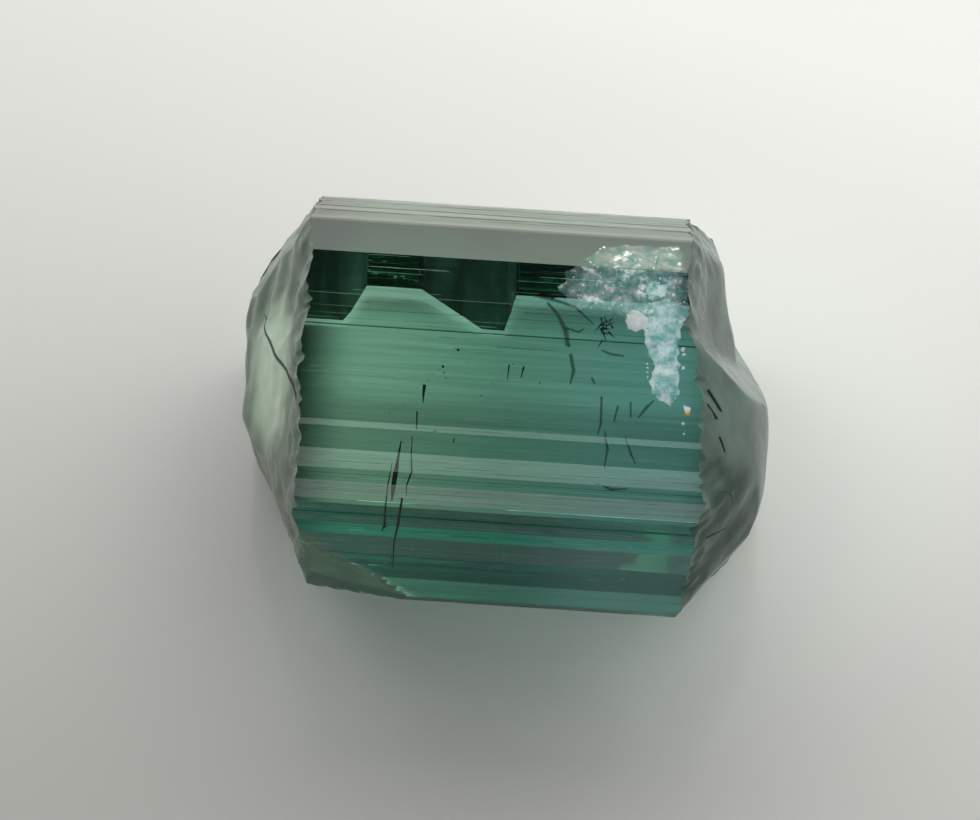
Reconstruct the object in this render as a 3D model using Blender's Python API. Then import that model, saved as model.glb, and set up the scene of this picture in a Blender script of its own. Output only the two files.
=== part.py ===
"""Tourmaline crystal: a short length of one striated prism, broken across at both ends.

The prism lies on its side along X and rests on a flat of its underside. X is the crystal's long
axis, Y points to its rear and Z is up. The origin is the middle of the bounding box at the bottom.
Everything is one solid: the faces round the section, the two broken ends, the spall and the breaks
in the toe along its rear foot.
"""

import math

import bmesh
import bpy
from mathutils import Matrix, Vector

MM = 0.001

# --- driving dimensions, mm and degrees -------------------------------------------------------
# The section is walked from the rear top edge over the top to the front: tilt of the face's
# outward normal from straight up (positive to the rear), then the width of the face.
START = (5.02, 7.20)
FACES = (
    (52, 0.98), (44, 0.59), (50, 0.47), (40, 0.55), (46, 0.33),
    (15, 1.26),
    (-15, 4.61),
    (-45, 0.17), (-18, 0.61), (-45, 0.53), (-15, 0.34), (-45, 0.50), (-15, 0.11),
    (-75, 0.31), (-55, 0.06), (-75, 0.34), (-50, 0.32), (-75, 0.69), (-62, 0.70), (-72, 0.66),
    (-100, 0.25),
)
BASE_REAR = 4.03  # rear edge of the flat it rests on
# The rear foot stands out as a toe: the start of its raised underside, its tip, its knee, and the
# widest point of the rear.
REAR_TOE = ((4.05, 0.05), (5.20, 0.20), (5.64, 1.90), (5.76, 4.79))

PRISM_ENDS = (-9.0, 9.0)  # raw length, before the ends are broken off
CENTRING = (-0.1149, -0.0734, 0.0)  # sets the middle of the finished bounding box over the origin

# Left end: flat scars. Each is x = c + a*y + b*z, and the solid lies at larger x.
LEFT_SCARS = (
    (-10.09, 0.438, 0.365),
    (-8.43, -0.060, 0.344),
    (-7.65, -0.157, 0.243),
    (-6.97, -0.390, 0.000),
    (-7.08, 0.060, 0.000),
    (-5.93, -0.380, -0.220),
)

# Right end: two flat scars at the rear and a rounded boss, with four flat scars that trim it.
RIGHT_REAR_SCARS = ((7.75, 0.0, -0.298), (7.12, -0.200, -0.100))
BOSS_TOP = (7.25, -0.50, 4.20)      # x, y, z of its summit
BOSS_FALL = (0.060, 0.085)          # how fast it falls away along y and along z, 1/mm
BOSS_FLANK = (10.43, -0.742, -0.566)
RIGHT_TRIMS = (
    (8.60, 0.521, -0.100),
    (6.86, 0.320, 0.185),
    (11.90, -0.680, -0.520),
    (7.15, 0.665, 0.385),
)

# Spall off the lower front edge at the left: a point of its plane and the plane's outward normal.
SPALL_POINT = (-5.00, -4.95, 6.30)
SPALL_NORMAL = (-0.215, -0.976, 0.018)

# Where the toe has broken away: the outline in y and z of what is missing, and the two breaks, each
# drawn along X through stations: x, and how far the outline stands off to the rear there.
BREAK = ((6.30, 6.20), (4.62, 1.75), (4.07, -0.10), (7.50, -0.60), (8.50, 6.20))
BREAKS = (
    ((-10.0, 0.0), (-4.50, 0.0), (-4.00, 1.25)),
    ((-2.50, 1.25), (-0.75, 0.0), (-0.10, 0.0), (0.10, 1.25)),
)

CUT_GRID = (48, 48)  # cells of the boss cutter across y and up z
BOSS_REACH = 8.0     # how far the boss cutter reaches each way from the summit, mm
CUT_REACH = 16.0     # how far the flat cutters reach, mm


def link(name, mesh, collection):
    """Puts a mesh into a collection as an object."""
    obj = bpy.data.objects.new(name, mesh)
    collection.objects.link(obj)
    return obj


def section_points():
    """Corner points (y, z) of the prism's section, anticlockwise seen from +X."""
    y, z = START
    points = [(y, z)]
    for tilt, width in FACES:
        angle = math.radians(tilt)
        y -= width * math.cos(angle)
        z += width * math.sin(angle)
        points.append((y, z))
    points.append((y + z, 0.0))
    points.append((BASE_REAR, 0.0))
    points.extend(REAR_TOE)
    return points


def filled_outline(name, points):
    """A flat filled outline in the plane of Y and Z, as editable faces at x = 0."""
    curve = bpy.data.curves.new(name, "CURVE")
    curve.dimensions = "2D"
    curve.fill_mode = "BOTH"
    spline = curve.splines.new("POLY")
    spline.points.add(len(points) - 1)
    for point, (y, z) in zip(spline.points, points):
        point.co = (y * MM, z * MM, 0.0, 1.0)
    spline.use_cyclic_u = True
    outline = link(name, curve, bpy.context.scene.collection)
    graph = bpy.context.evaluated_depsgraph_get()
    mesh = bpy.data.meshes.new_from_object(outline.evaluated_get(graph))
    bpy.data.objects.remove(outline)
    body = bmesh.new()
    body.from_mesh(mesh)
    bpy.data.meshes.remove(mesh)
    bmesh.ops.remove_doubles(body, verts=body.verts, dist=1e-7)
    bmesh.ops.dissolve_limit(body, angle_limit=1e-3, verts=body.verts, edges=body.edges)
    # local x, y, z of the outline become Y, Z, X of the crystal
    turn = Matrix(((0, 0, 1, 0), (1, 0, 0, 0), (0, 1, 0, 0), (0, 0, 0, 1)))
    bmesh.ops.transform(body, matrix=turn, verts=body.verts)
    return body


def drawn_out(name, points, stations, collection):
    """The outline drawn out along X from station to station, each an x and a shift to the rear."""
    body = filled_outline(name, points)
    x, shift = stations[0]
    bmesh.ops.translate(body, vec=Vector((x, shift, 0.0)) * MM, verts=body.verts)
    cap = body.faces[:]
    for number, ((x0, shift0), (x1, shift1)) in enumerate(zip(stations, stations[1:])):
        made = bmesh.ops.extrude_face_region(body, geom=cap)["geom"]
        moved = [item for item in made if isinstance(item, bmesh.types.BMVert)]
        step = Vector((x1 - x0, shift1 - shift0, 0.0)) * MM
        bmesh.ops.translate(body, vec=step, verts=moved)
        if number > 0:
            bmesh.ops.delete(body, geom=cap, context="FACES_ONLY")
        cap = [item for item in made if isinstance(item, bmesh.types.BMFace)]
    bmesh.ops.recalc_face_normals(body, faces=body.faces)
    mesh = bpy.data.meshes.new(name)
    body.to_mesh(mesh)
    body.free()
    return link(name, mesh, collection)


def prism(collection):
    """The section drawn out along X, before its ends are broken off."""
    start, end = PRISM_ENDS
    return drawn_out("tourmaline_crystal", section_points(), ((start, 0.0), (end, 0.0)), collection)


def flat_cutter(name, point, normal, collection):
    """A large block whose one face passes through a point and looks back into the solid."""
    body = bmesh.new()
    bmesh.ops.create_cube(body, size=1.0)
    reach = 2 * CUT_REACH * MM
    bmesh.ops.scale(body, vec=(reach, reach, CUT_REACH * MM), verts=body.verts)
    bmesh.ops.translate(body, vec=(0, 0, 0.5 * CUT_REACH * MM), verts=body.verts)
    turn = Vector(normal).to_track_quat("Z", "Y").to_matrix().to_4x4()
    place = Matrix.Translation(Vector(point) * MM) @ turn
    bmesh.ops.transform(body, matrix=place, verts=body.verts)
    mesh = bpy.data.meshes.new(name)
    body.to_mesh(mesh)
    body.free()
    return link(name, mesh, collection)


def scar_cutter(name, scar, side, collection):
    """A flat cutter for the scar x = c + a*y + b*z; side is -1 at the left end and 1 at the right."""
    c, a, b = scar
    outward = Vector((1.0, -a, -b)).normalized() * side
    return flat_cutter(name, (c, 0.0, 0.0), outward, collection)


def boss_cutter(collection):
    """A block whose inner side is a grid, hollowed to the rounded top of the boss."""
    body = bmesh.new()
    across, up = CUT_GRID
    bmesh.ops.create_grid(body, x_segments=across, y_segments=up, size=1.0)
    top, y0, z0 = BOSS_TOP
    for vert in body.verts:
        y = y0 + BOSS_REACH * vert.co.x
        z = z0 + BOSS_REACH * vert.co.y
        x = top - BOSS_FALL[0] * (y - y0) ** 2 - BOSS_FALL[1] * (z - z0) ** 2
        vert.co = Vector((x, y, z)) * MM
    bmesh.ops.triangulate(body, faces=body.faces)
    made = bmesh.ops.extrude_face_region(body, geom=body.faces[:])
    for item in made["geom"]:
        if isinstance(item, bmesh.types.BMVert):
            item.co.x = CUT_REACH * MM
    bmesh.ops.recalc_face_normals(body, faces=body.faces)
    mesh = bpy.data.meshes.new("boss cutter")
    body.to_mesh(mesh)
    body.free()
    return link("boss cutter", mesh, collection)


def combine(target, other, operation):
    """Joins, crosses or takes away another solid, which is then only a helper."""
    modifier = target.modifiers.new(other.name, "BOOLEAN")
    modifier.operation = operation
    modifier.solver = "EXACT"
    modifier.object = other
    other.hide_render = True
    other.display_type = "WIRE"


def right_end_cutter(collection):
    """All that lies outside the rear scars and outside the boss, so whichever stands out is kept."""
    beyond_scars, second = (
        scar_cutter(f"right rear scar {number}", scar, 1, collection)
        for number, scar in enumerate(RIGHT_REAR_SCARS)
    )
    combine(beyond_scars, second, "UNION")
    beyond_boss = boss_cutter(collection)
    combine(beyond_boss, scar_cutter("boss flank", BOSS_FLANK, 1, collection), "UNION")
    combine(beyond_scars, beyond_boss, "INTERSECT")
    return beyond_scars


def material():
    """Clear blue-green tourmaline."""
    made = bpy.data.materials.new("green tourmaline")
    made.use_nodes = True
    shader = made.node_tree.nodes["Principled BSDF"]
    shader.inputs["Base Color"].default_value = (0.10, 0.26, 0.19, 1.0)
    shader.inputs["Roughness"].default_value = 0.04
    shader.inputs["IOR"].default_value = 1.63
    shader.inputs["Transmission Weight"].default_value = 1.0
    return made


def main():
    for obj in list(bpy.data.objects):
        bpy.data.objects.remove(obj)
    parts = bpy.data.collections.new("tourmaline crystal")
    cutters = bpy.data.collections.new("cutters")
    bpy.context.scene.collection.children.link(parts)
    bpy.context.scene.collection.children.link(cutters)
    cutters.hide_render = True

    crystal = prism(parts)
    crystal.data.materials.append(material())
    for number, scar in enumerate(LEFT_SCARS):
        combine(crystal, scar_cutter(f"left scar {number}", scar, -1, cutters), "DIFFERENCE")
    combine(crystal, right_end_cutter(cutters), "DIFFERENCE")
    for number, scar in enumerate(RIGHT_TRIMS):
        combine(crystal, scar_cutter(f"right trim {number}", scar, 1, cutters), "DIFFERENCE")
    combine(crystal, flat_cutter("spall", SPALL_POINT, SPALL_NORMAL, cutters), "DIFFERENCE")
    for number, stations in enumerate(BREAKS):
        combine(crystal, drawn_out(f"toe break {number}", BREAK, stations, cutters), "DIFFERENCE")
    for obj in bpy.data.objects:
        obj.location = Vector(CENTRING) * MM


main()
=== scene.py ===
"""Tourmaline crystal: the plain solid dressed as clear, striated, broken blue-green stone.

Sizes in the shape functions are millimetres: X along the prism, Y to its rear and Z up, before the
stone is centred by SHIFT.
"""

import math
from functools import partial

import bpy
import numpy as np
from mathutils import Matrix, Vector


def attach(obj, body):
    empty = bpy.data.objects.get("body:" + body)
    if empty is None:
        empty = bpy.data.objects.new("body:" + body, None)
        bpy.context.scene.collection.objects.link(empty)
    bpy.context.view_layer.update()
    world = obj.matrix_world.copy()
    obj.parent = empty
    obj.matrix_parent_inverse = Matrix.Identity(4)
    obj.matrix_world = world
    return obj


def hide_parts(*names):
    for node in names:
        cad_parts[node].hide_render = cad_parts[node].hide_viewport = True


bl_info = {
    "name": "Tourmaline crystal",
    "version": (1, 0, 0),
    "blender": (4, 5, 0),
    "location": "View3D > Sidebar > Tourmaline",
    "description": "Dresses a broken tourmaline prism: striations, scars, healed crack and needles",
    "category": "Object",
}

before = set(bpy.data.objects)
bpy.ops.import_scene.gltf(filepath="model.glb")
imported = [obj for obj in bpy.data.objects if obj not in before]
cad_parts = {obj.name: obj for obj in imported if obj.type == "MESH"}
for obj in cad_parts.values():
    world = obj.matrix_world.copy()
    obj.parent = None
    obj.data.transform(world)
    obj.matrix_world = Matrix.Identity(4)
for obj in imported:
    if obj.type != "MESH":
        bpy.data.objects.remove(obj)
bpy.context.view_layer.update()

MM = 0.001
NODE = "tourmaline_crystal"

# --- the solid's own values, as in its source, moved by the same centring ---------------------
SHIFT = np.array((-0.1149, -0.0734, 0.0))
START = (5.02, 7.20)
FACES = (
    (52, 0.98), (44, 0.59), (50, 0.47), (40, 0.55), (46, 0.33),
    (15, 1.26),
    (-15, 4.61),
    (-45, 0.17), (-18, 0.61), (-45, 0.53), (-15, 0.34), (-45, 0.50), (-15, 0.11),
    (-75, 0.31), (-55, 0.06), (-75, 0.34), (-50, 0.32), (-75, 0.69), (-62, 0.70), (-72, 0.66),
    (-100, 0.25),
)
REAR = ((4.03, 0.0), (4.05, 0.05), (5.20, 0.20), (5.64, 1.9), (5.76, 4.79))
# the striations of each face in turn, mm: how deep a terrace may sink, and how wide a terrace is
STRIA = (
    *((0.012, 0.09),) * 5,
    (0.0015, 0.22),
    (0.004, 0.13),
    *((0.008, 0.11),) * 6,
    *((0.010, 0.11),) * 8,
    (0.010, 0.15), (0.001, 0.25), (0.0, 0.2), (0.004, 0.10), (0.005, 0.22), (0.005, 0.3), (0.012, 0.3),
)
RISER = 0.004  # half the width of the step from one terrace to the next, mm
FLUTE = 0.003  # how deep the steep rear faces are fluted across, mm
# faces by number, counted along FACES, then over the underside and up the rear
ETCHED = 6  # the faces before this one, those at the rear top and the shoulder, are etched
FRONT = 13  # the first of the steep front faces, which are faintly etched
# the upper front faces and the edge that leans under are darkened by painted shade
FRONT_SHADED = 15  # the faces above this one are darkest, and
FRONT_LOW = 17  # from this one down they have their full tone
FRONT_EDGE = 20  # the last of them, which leans under
UNDERSIDE = 21  # the leaning front underside
TOE_UNDER, TOE_WALL, REAR_WALL = 24, 25, 26  # the toe's underside, its steep front and the wall over it
REAR_FIRST = 23  # the face that starts at the first point of REAR

LEFT_SCARS = (
    (-10.09, 0.438, 0.365),
    (-8.43, -0.060, 0.344),
    (-7.65, -0.157, 0.243),
    (-6.97, -0.390, 0.000),
    (-7.08, 0.060, 0.000),
    (-5.93, -0.380, -0.220),
)
RIGHT_REAR_SCARS = ((7.75, 0.0, -0.298), (7.12, -0.200, -0.100))
BOSS_TOP = (7.25, -0.50, 4.20)
BOSS_FALL = (0.060, 0.085)
BOSS_FLANK = (10.43, -0.742, -0.566)
RIGHT_TRIMS = (
    (8.60, 0.521, -0.100),
    (6.86, 0.320, 0.185),
    (11.90, -0.680, -0.520),
    (7.15, 0.665, 0.385),
)
SPALL = ((-5.00, -4.95, 6.30), (-0.215, -0.976, 0.018))
# the rear foot stands out as a toe, except where it has broken away: x and share of the toe left
TOE = (
    (-9.0, 0.0), (-4.50, 0.0), (-4.00, 1.0), (-2.50, 1.0),
    (-0.75, 0.0), (-0.10, 0.0), (0.10, 1.0), (9.0, 1.0),
)
TOE_WHOLE = 0.97  # share of the toe above which it counts as unbroken
RING_ENDS = (-6.0, 6.0)  # x where the first and last ring of the prism lie on average
FIRM = (-4.0, -2.5, 0.10)  # x where a ring must lie, for a break of the toe starts or ends there
BARE = ((4.13, 0.10), (4.62, 1.75))  # where the toe's tip and knee would be without the toe
LEFT_HIGHLIGHT = (-0.1, 6.3)  # y and z of the pale patch on the left end, a painted highlight
RIGHT_PATCH = (-4.2, 5.8)  # and of the greener patch on the right end
CORE = np.array((-0.1, 4.6))  # middle of the section, y and z, that the end grids run out from
CHIPS = 0.14  # how deep the chips along the rims bite
CRUMBLE = 0.022  # how deep the crumbly relief near the rims is
SPALL_WAVE = 0.003  # how wavy the spall's scar is, as a share of the way out from the core
SPALL_NEAR = 0.04  # how near the spall's plane a face counts as its scar
SPALL_HIGHLIGHT = 0.12  # how far from that plane the painted highlight along the scar's rim has faded out
# the finishes of the stone's surface, in the order of its material slots
CLEAR, ETCH, LEFT_BREAK, RIGHT_BREAK, FOOT_BREAK, FRONT_FACES = range(6)
# the camera: half the width of what it sees at the stone, the height it aims at, and how far right and
# up of that it is then moved
HALF_VIEW = 13.23
AIM_HEIGHT = 4.5
FRAMING = (-0.30, 0.23)
# the painted glow in the plate: x and y of its middle, then how far from it, along x and along y, it has
# faded out and from where inwards it is full
PAINTED_GLOW_AT = (0.2, 1.35)
PAINTED_GLOW_REACH = ((6.1, 4.4), (3.95, 2.6))


# --- what lies inside: places are (x, way walked down the section from the top face's rear edge) -
# outline of the healed crack's speckled veil
VEIL = (
    (1.54, 0.63), (1.69, 0.19), (2.03, -0.32), (2.51, -0.76), (3.24, -0.90), (3.96, -0.87), (4.45, -0.98),
    (4.72, -0.58), (4.74, 0.02), (4.79, 0.71), (4.80, 1.35), (3.95, 1.05), (3.20, 1.20), (2.55, 0.90),
    (2.05, 1.05),
)
# outline of its cloudy white band, and of the denser core of that
CLOUD = (
    (3.84, 0.80), (4.40, 0.62), (4.66, 0.90), (4.70, 1.80), (4.76, 2.80), (4.74, 3.42), (4.55, 3.68),
    (4.28, 3.50), (3.94, 3.12), (4.08, 2.60), (3.86, 2.10), (3.74, 1.50),
)
CLOUD_CORE = (
    (3.98, 1.00), (4.50, 1.00), (4.62, 2.00), (4.64, 3.20), (4.30, 3.30), (4.12, 2.60), (4.00, 1.80),
)
# outline of its bloom on the shoulder, and of the denser core of that
SHOULDER_VEIL = (
    (2.00, -0.20), (2.51, -0.76), (3.24, -0.92), (3.96, -0.90), (4.48, -1.02), (4.62, -0.58), (4.72, -0.03),
    (3.80, -0.03), (3.00, -0.03), (2.30, -0.03),
)
SHOULDER_CORE = ((2.60, -0.20), (3.10, -0.66), (3.90, -0.70), (4.40, -0.66), (4.50, -0.10), (3.50, -0.12))
# outline of the cream clay grain
BLOB = ((3.24, 1.30), (3.36, 1.06), (3.60, 1.02), (3.80, 1.24), (3.74, 1.52), (3.52, 1.66), (3.30, 1.58))
# dark growth tubes: the places that each passes through, with half its width there
NEEDLES = (
    ((-1.91, 3.50, 0.048), (-1.92, 3.76, 0.030), (-1.91, 4.02, 0.010)),
    ((-2.05, 4.25, 0.022), (-2.03, 4.74, 0.016)),
    (
        (-2.13, 4.94, 0.012), (-2.12, 5.52, 0.014), (-2.08, 5.90, 0.026), (-2.19, 6.30, 0.020),
        (-2.19, 6.58, 0.010),
    ),
    ((-2.29, 6.62, 0.030), (-2.38, 7.53, 0.028), (-2.47, 8.08, 0.018), (-2.48, 8.97, 0.012)),
    (
        (-2.41, 5.09, 0.016), (-2.46, 5.55, 0.034), (-2.51, 6.01, 0.066), (-2.54, 6.40, 0.058),
        (-2.56, 6.75, 0.016),
    ),
    ((-2.61, 5.69, 0.010), (-2.68, 6.29, 0.018), (-2.70, 6.60, 0.014)),
    ((-2.70, 6.56, 0.016), (-2.74, 7.60, 0.026), (-2.80, 7.74, 0.012)),
    ((-2.78, 7.66, 0.016), (-2.66, 7.58, 0.016)),
    ((0.27, 2.79, 0.022), (0.25, 3.22, 0.007)),
    ((0.66, 2.82, 0.026), (0.60, 3.14, 0.010)),
    ((-1.60, 4.78, 0.014), (-1.50, 4.72, 0.014)),
    ((-1.03, 4.92, 0.016), (-1.05, 5.06, 0.010)),
)
ARCH = ((-2.70, 4.50), (-1.30, 2.60), (0.60, 2.30))  # the line that a faint swarm of specks follows
SWARM = 26  # how many specks it has
# painted glints: larger flakes of the same clay, each a painted highlight: place and size
GLINTS = (
    (2.53, -0.76, 0.040), (2.44, -0.70, 0.026), (3.26, -0.58, 0.030), (2.60, 0.65, 0.034),
    (2.85, 0.57, 0.034), (3.06, 0.42, 0.026), (4.55, -0.30, 0.060), (4.46, 0.57, 0.062),
    (4.34, 0.74, 0.050), (4.15, 0.54, 0.030), (4.07, 0.14, 0.036), (4.80, 2.06, 0.070),
    (4.83, 2.20, 0.050), (4.84, 2.58, 0.060), (4.93, 4.11, 0.048), (4.97, 4.39, 0.036),
    (3.05, 0.75, 0.040), (3.10, 0.95, 0.050), (3.90, 1.05, 0.060),
)
# outline of the thin crack with a painted rainbow glint
RAINBOW = ((4.90, 3.58), (5.10, 3.66), (5.08, 3.90), (4.98, 3.88))
# marks that lie in the broken ends: the y and z that each passes through, with half its width there
LEFT_MARKS = (
    ((2.0, 5.8, 0.015), (1.1, 6.3, 0.03), (-0.2, 7.2, 0.045), (-1.1, 7.9, 0.035), (-2.1, 8.4, 0.01)),
    ((4.9, 4.4, 0.01), (4.7, 3.4, 0.04), (4.3, 2.9, 0.045), (3.9, 3.3, 0.03), (3.3, 4.3, 0.01)),
)
RIGHT_MARKS = (
    ((-1.10, 8.65, 0.03), (-1.35, 8.20, 0.05), (-1.40, 8.05, 0.01)),
    ((-1.50, 8.60, 0.02), (-1.70, 8.20, 0.04)),
    ((-2.10, 7.95, 0.03), (-2.35, 7.60, 0.015)),
    ((-3.4, 7.3, 0.01), (-3.1, 6.8, 0.025), (-3.1, 6.3, 0.01)),
    ((-3.4, 5.4, 0.01), (-3.9, 5.9, 0.025), (-4.2, 6.2, 0.01)),
)
SPIKES = (2.72, 1.58)  # heart of a cluster of dark blue spikes
SPIKE_COUNT = 16
# dark specks: place and size
SPECKS = (
    (-1.10, 2.47, 0.045), (-1.46, 2.96, 0.045), (-1.42, 3.14, 0.026), (-1.36, 3.27, 0.022),
    (-0.84, 2.81, 0.020), (-0.41, 3.70, 0.024), (0.37, 2.78, 0.022), (-0.14, 3.33, 0.016),
    (1.11, 3.24, 0.024), (2.60, 1.62, 0.03),
)
SKIN_DEEP = 6.5  # needles that start beyond this way down the faces lie in their surface
# a feather crack is several tubes one inside another, in these shares of its width, so its haze thins
# out to its edges
FEATHER_SHARES = (0.5, 0.9, 1.4, 2.0)
# feather cracks: the places that each passes through, with half its width there
FEATHERS = (
    ((0.93, 0.68, 0.050), (1.39, 0.80, 0.030), (1.88, 0.94, 0.024), (2.40, 1.40, 0.010)),
    ((0.80, 0.72, 0.020), (1.16, 0.62, 0.030), (1.30, 0.74, 0.020)),
    (
        (1.16, 0.88, 0.022), (1.45, 1.20, 0.030), (1.69, 1.66, 0.045), (1.76, 2.05, 0.040),
        (1.84, 2.10, 0.016),
    ),
    ((1.86, 2.32, 0.030), (1.97, 2.80, 0.034), (1.90, 3.20, 0.012)),
    ((1.68, 1.57, 0.016), (2.03, 1.66, 0.020), (2.16, 1.56, 0.010)),
    ((2.66, 2.14, 0.012), (2.90, 2.24, 0.024), (3.26, 2.27, 0.020)),
    ((4.13, 3.50, 0.012), (3.92, 3.76, 0.030), (3.74, 4.06, 0.010)),
    ((2.75, 3.50, 0.020), (2.78, 4.30, 0.020), (2.72, 4.60, 0.010)),
    ((3.20, 3.72, 0.016), (3.12, 4.20, 0.016)),
    ((3.52, 3.60, 0.016), (3.55, 4.05, 0.014)),
    ((2.45, 2.95, 0.016), (2.55, 3.15, 0.016)),
    ((2.90, 4.50, 0.012), (3.00, 5.00, 0.024), (2.95, 5.50, 0.010)),
    ((3.45, 4.60, 0.010), (3.62, 5.10, 0.022), (3.75, 5.35, 0.010)),
    ((2.75, 5.95, 0.010), (3.15, 6.15, 0.026), (3.60, 6.10, 0.010)),
)


# --- small tools ------------------------------------------------------------------------------
def linear(code):
    """An sRGB hex code as linear red, green and blue."""
    values = [int(code[i:i + 2], 16) / 255 for i in (0, 2, 4)]
    return tuple(v / 12.92 if v <= 0.04045 else ((v + 0.055) / 1.055) ** 2.4 for v in values)


def wire(tree, made, sockets):
    """Sets a shader node's sockets, each by name or number, to a value or to another node's output."""
    for key, value in sockets.items():
        socket = made.inputs[key]
        if isinstance(value, bpy.types.NodeSocket):
            tree.links.new(value, socket)
        else:
            socket.default_value = value


def node(tree, kind, sockets=None, **settings):
    """Adds a shader node with its settings, and wires its sockets."""
    made = tree.nodes.new(kind)
    for name, value in settings.items():
        setattr(made, name, value)
    wire(tree, made, sockets or {})
    return made


def waves(y, z, seed, length, count=7):
    """Smooth uneven relief, mostly from -1 to 1: a sum of plane waves with random headings, lengths
    round the given one, and phases."""
    draw = np.random.default_rng(seed)
    heading = draw.uniform(0, 2 * math.pi, count)
    pitch = 2 * math.pi / (length * draw.uniform(0.7, 1.6, count))
    phase = draw.uniform(0, 2 * math.pi, count)
    total = np.zeros(np.broadcast(y, z).shape)
    for angle, k, p in zip(heading, pitch, phase):
        total += np.sin(k * (y * math.cos(angle) + z * math.sin(angle)) + p)
    return total / math.sqrt(count)


def soft_max(fields, width):
    """The largest of several fields, with the crests between them rounded over about that width."""
    stack = np.stack(np.broadcast_arrays(*fields))
    top = stack.max(axis=0)
    return top + width * np.log(np.exp((stack - top) / width).sum(axis=0))


def soft_min(fields, width):
    """The smallest of several fields, rounded in the same way."""
    return -soft_max([-np.asarray(f) for f in fields], width)


# --- the shape of the stone -------------------------------------------------------------------
def scar(values, y, z, origin, dish, ripple, seed):
    """x of one fracture scar: its plane, dished by a shallow bowl round its origin, with shell-like
    rings whose height is ripple and whose spacing widens with the distance from the origin."""
    c, a, b = values
    away = np.hypot(y - origin[0], z - origin[1])
    rings = np.sin(2 * math.pi * (away / 0.55) ** 0.85 + 1.3 * waves(y, z, seed, 3.0))
    uneven = waves(y, z, seed + 1, 1.6) + 0.2 * waves(y, z, seed + 2, 0.6)
    return c + a * y + b * z + dish * (6.0 - away ** 2) + ripple * (rings * 0.2 + uneven)


def left_end(y, z):
    """x of the left end: the innermost of its scars at each point of the section."""
    origins = ((5.2, 8.6), (1.6, 9.8), (-3.2, 8.2), (-5.6, 5.0), (0.0, 0.0), (-6.0, 6.0))
    ripples = (0.055, 0.050, 0.045, 0.055, 0.040, 0.040)
    fields = [
        scar(values, y, z, origin, 0.008, ripple, 20 + 3 * i)
        for i, (values, origin, ripple) in enumerate(zip(LEFT_SCARS, origins, ripples))
    ]
    return soft_max(fields, 0.025)


def right_end(y, z):
    """x of the right end: the rear scars or the rounded boss, whichever stands out, then the trims."""
    rear = soft_min([
        scar(RIGHT_REAR_SCARS[0], y, z, (1.8, 9.6), -0.006, 0.012, 50),
        scar(RIGHT_REAR_SCARS[1], y, z, (5.0, 4.0), -0.006, 0.020, 53),
    ], 0.03)
    top, y0, z0 = BOSS_TOP
    boss = top - BOSS_FALL[0] * (y - y0) ** 2 - BOSS_FALL[1] * (z - z0) ** 2
    boss = boss + 0.020 * waves(y, z, 60, 2.4) + 0.002 * waves(y, z, 61, 0.5)
    boss = soft_min([boss, scar(BOSS_FLANK, y, z, (0.5, 8.5), -0.006, 0.015, 63)], 0.03)
    end = soft_max([rear, boss], 0.03)
    trims = [
        scar(values, y, z, origin, -0.01, 0.025, 70 + 3 * i)
        for i, (values, origin) in enumerate(
            zip(RIGHT_TRIMS, ((-5.5, 6.5), (0.0, 0.0), (4.0, 9.0), (-6.0, 3.0))))
    ]
    return soft_min([end, *trims], 0.02)


def chipped(end, side, y, z, share):
    """x of a broken end whose rim is chipped: bites where a fine uneven relief stands high, that grow
    over the last part of the way out from the core, and a crumbly relief that sets in further inside;
    share is how far out a point lies."""
    bite = waves(y, z, 95, 0.9) + 0.5 * waves(y, z, 96, 0.3)
    near = np.clip((share - 0.93) / 0.07, 0.0, 1.0)
    crumbly = CRUMBLE * np.clip((share - 0.72) / 0.25, 0.0, 1.0) * (waves(y, z, 97, 0.5) + 1.0)
    return end(y, z) + side * (CHIPS * near * np.clip(bite - 0.25, 0.0, 1.6) + crumbly)


def face_corners():
    """Corner points (y, z) of the faces from the rear top edge over the top to the front."""
    y, z = START
    corners = [(y, z)]
    for tilt, width in FACES:
        angle = math.radians(tilt)
        y -= width * math.cos(angle)
        z += width * math.sin(angle)
        corners.append((y, z))
    return np.array(corners)


def section(fineness):
    """The section as terraces. Every face is cut at uneven steps into flat terraces, and each terrace
    is two points and sinks below its face by a random share of that face's depth. Returned for each
    point: its place on the flat face, the inward direction, the sink, the face, and the terrace."""
    draw = np.random.default_rng(11)
    corners = face_corners()
    foot = (corners[-1].sum(), 0.0)  # the front underside leans in at 45 degrees down to the table
    corners = np.concatenate((corners, [foot], REAR))
    after = np.roll(corners, -1, axis=0)
    spots, inwards, sinks, faces = [], [], [], []
    for number, (start, end, (depth, pitch)) in enumerate(zip(corners, after, STRIA)):
        span = end - start
        width = float(np.hypot(*span))
        count = max(1, int(round(width * fineness / pitch)))
        cuts = (np.arange(1, count) + draw.uniform(-0.42, 0.42, count - 1)) / count
        sink = depth * draw.uniform(0, 1, count) ** 1.5
        riser = RISER / width
        sides = np.concatenate(([0.0], np.repeat(cuts, 2), [1.0]))
        sides[1:-1] += np.tile((-riser, riser), count - 1)
        sides[-1] -= riser
        spots.append(start + sides[:, None] * span)
        inwards.append(np.tile(np.array((-span[1], span[0])) / width, (2 * count, 1)))
        sinks.append(np.repeat(sink, 2))
        faces.append(np.full(2 * count, number))
    faces = np.concatenate(faces)
    terraces = np.repeat(np.arange(len(faces) // 2), 2)
    return np.concatenate(spots), np.concatenate(inwards), np.concatenate(sinks), faces, terraces


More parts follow.
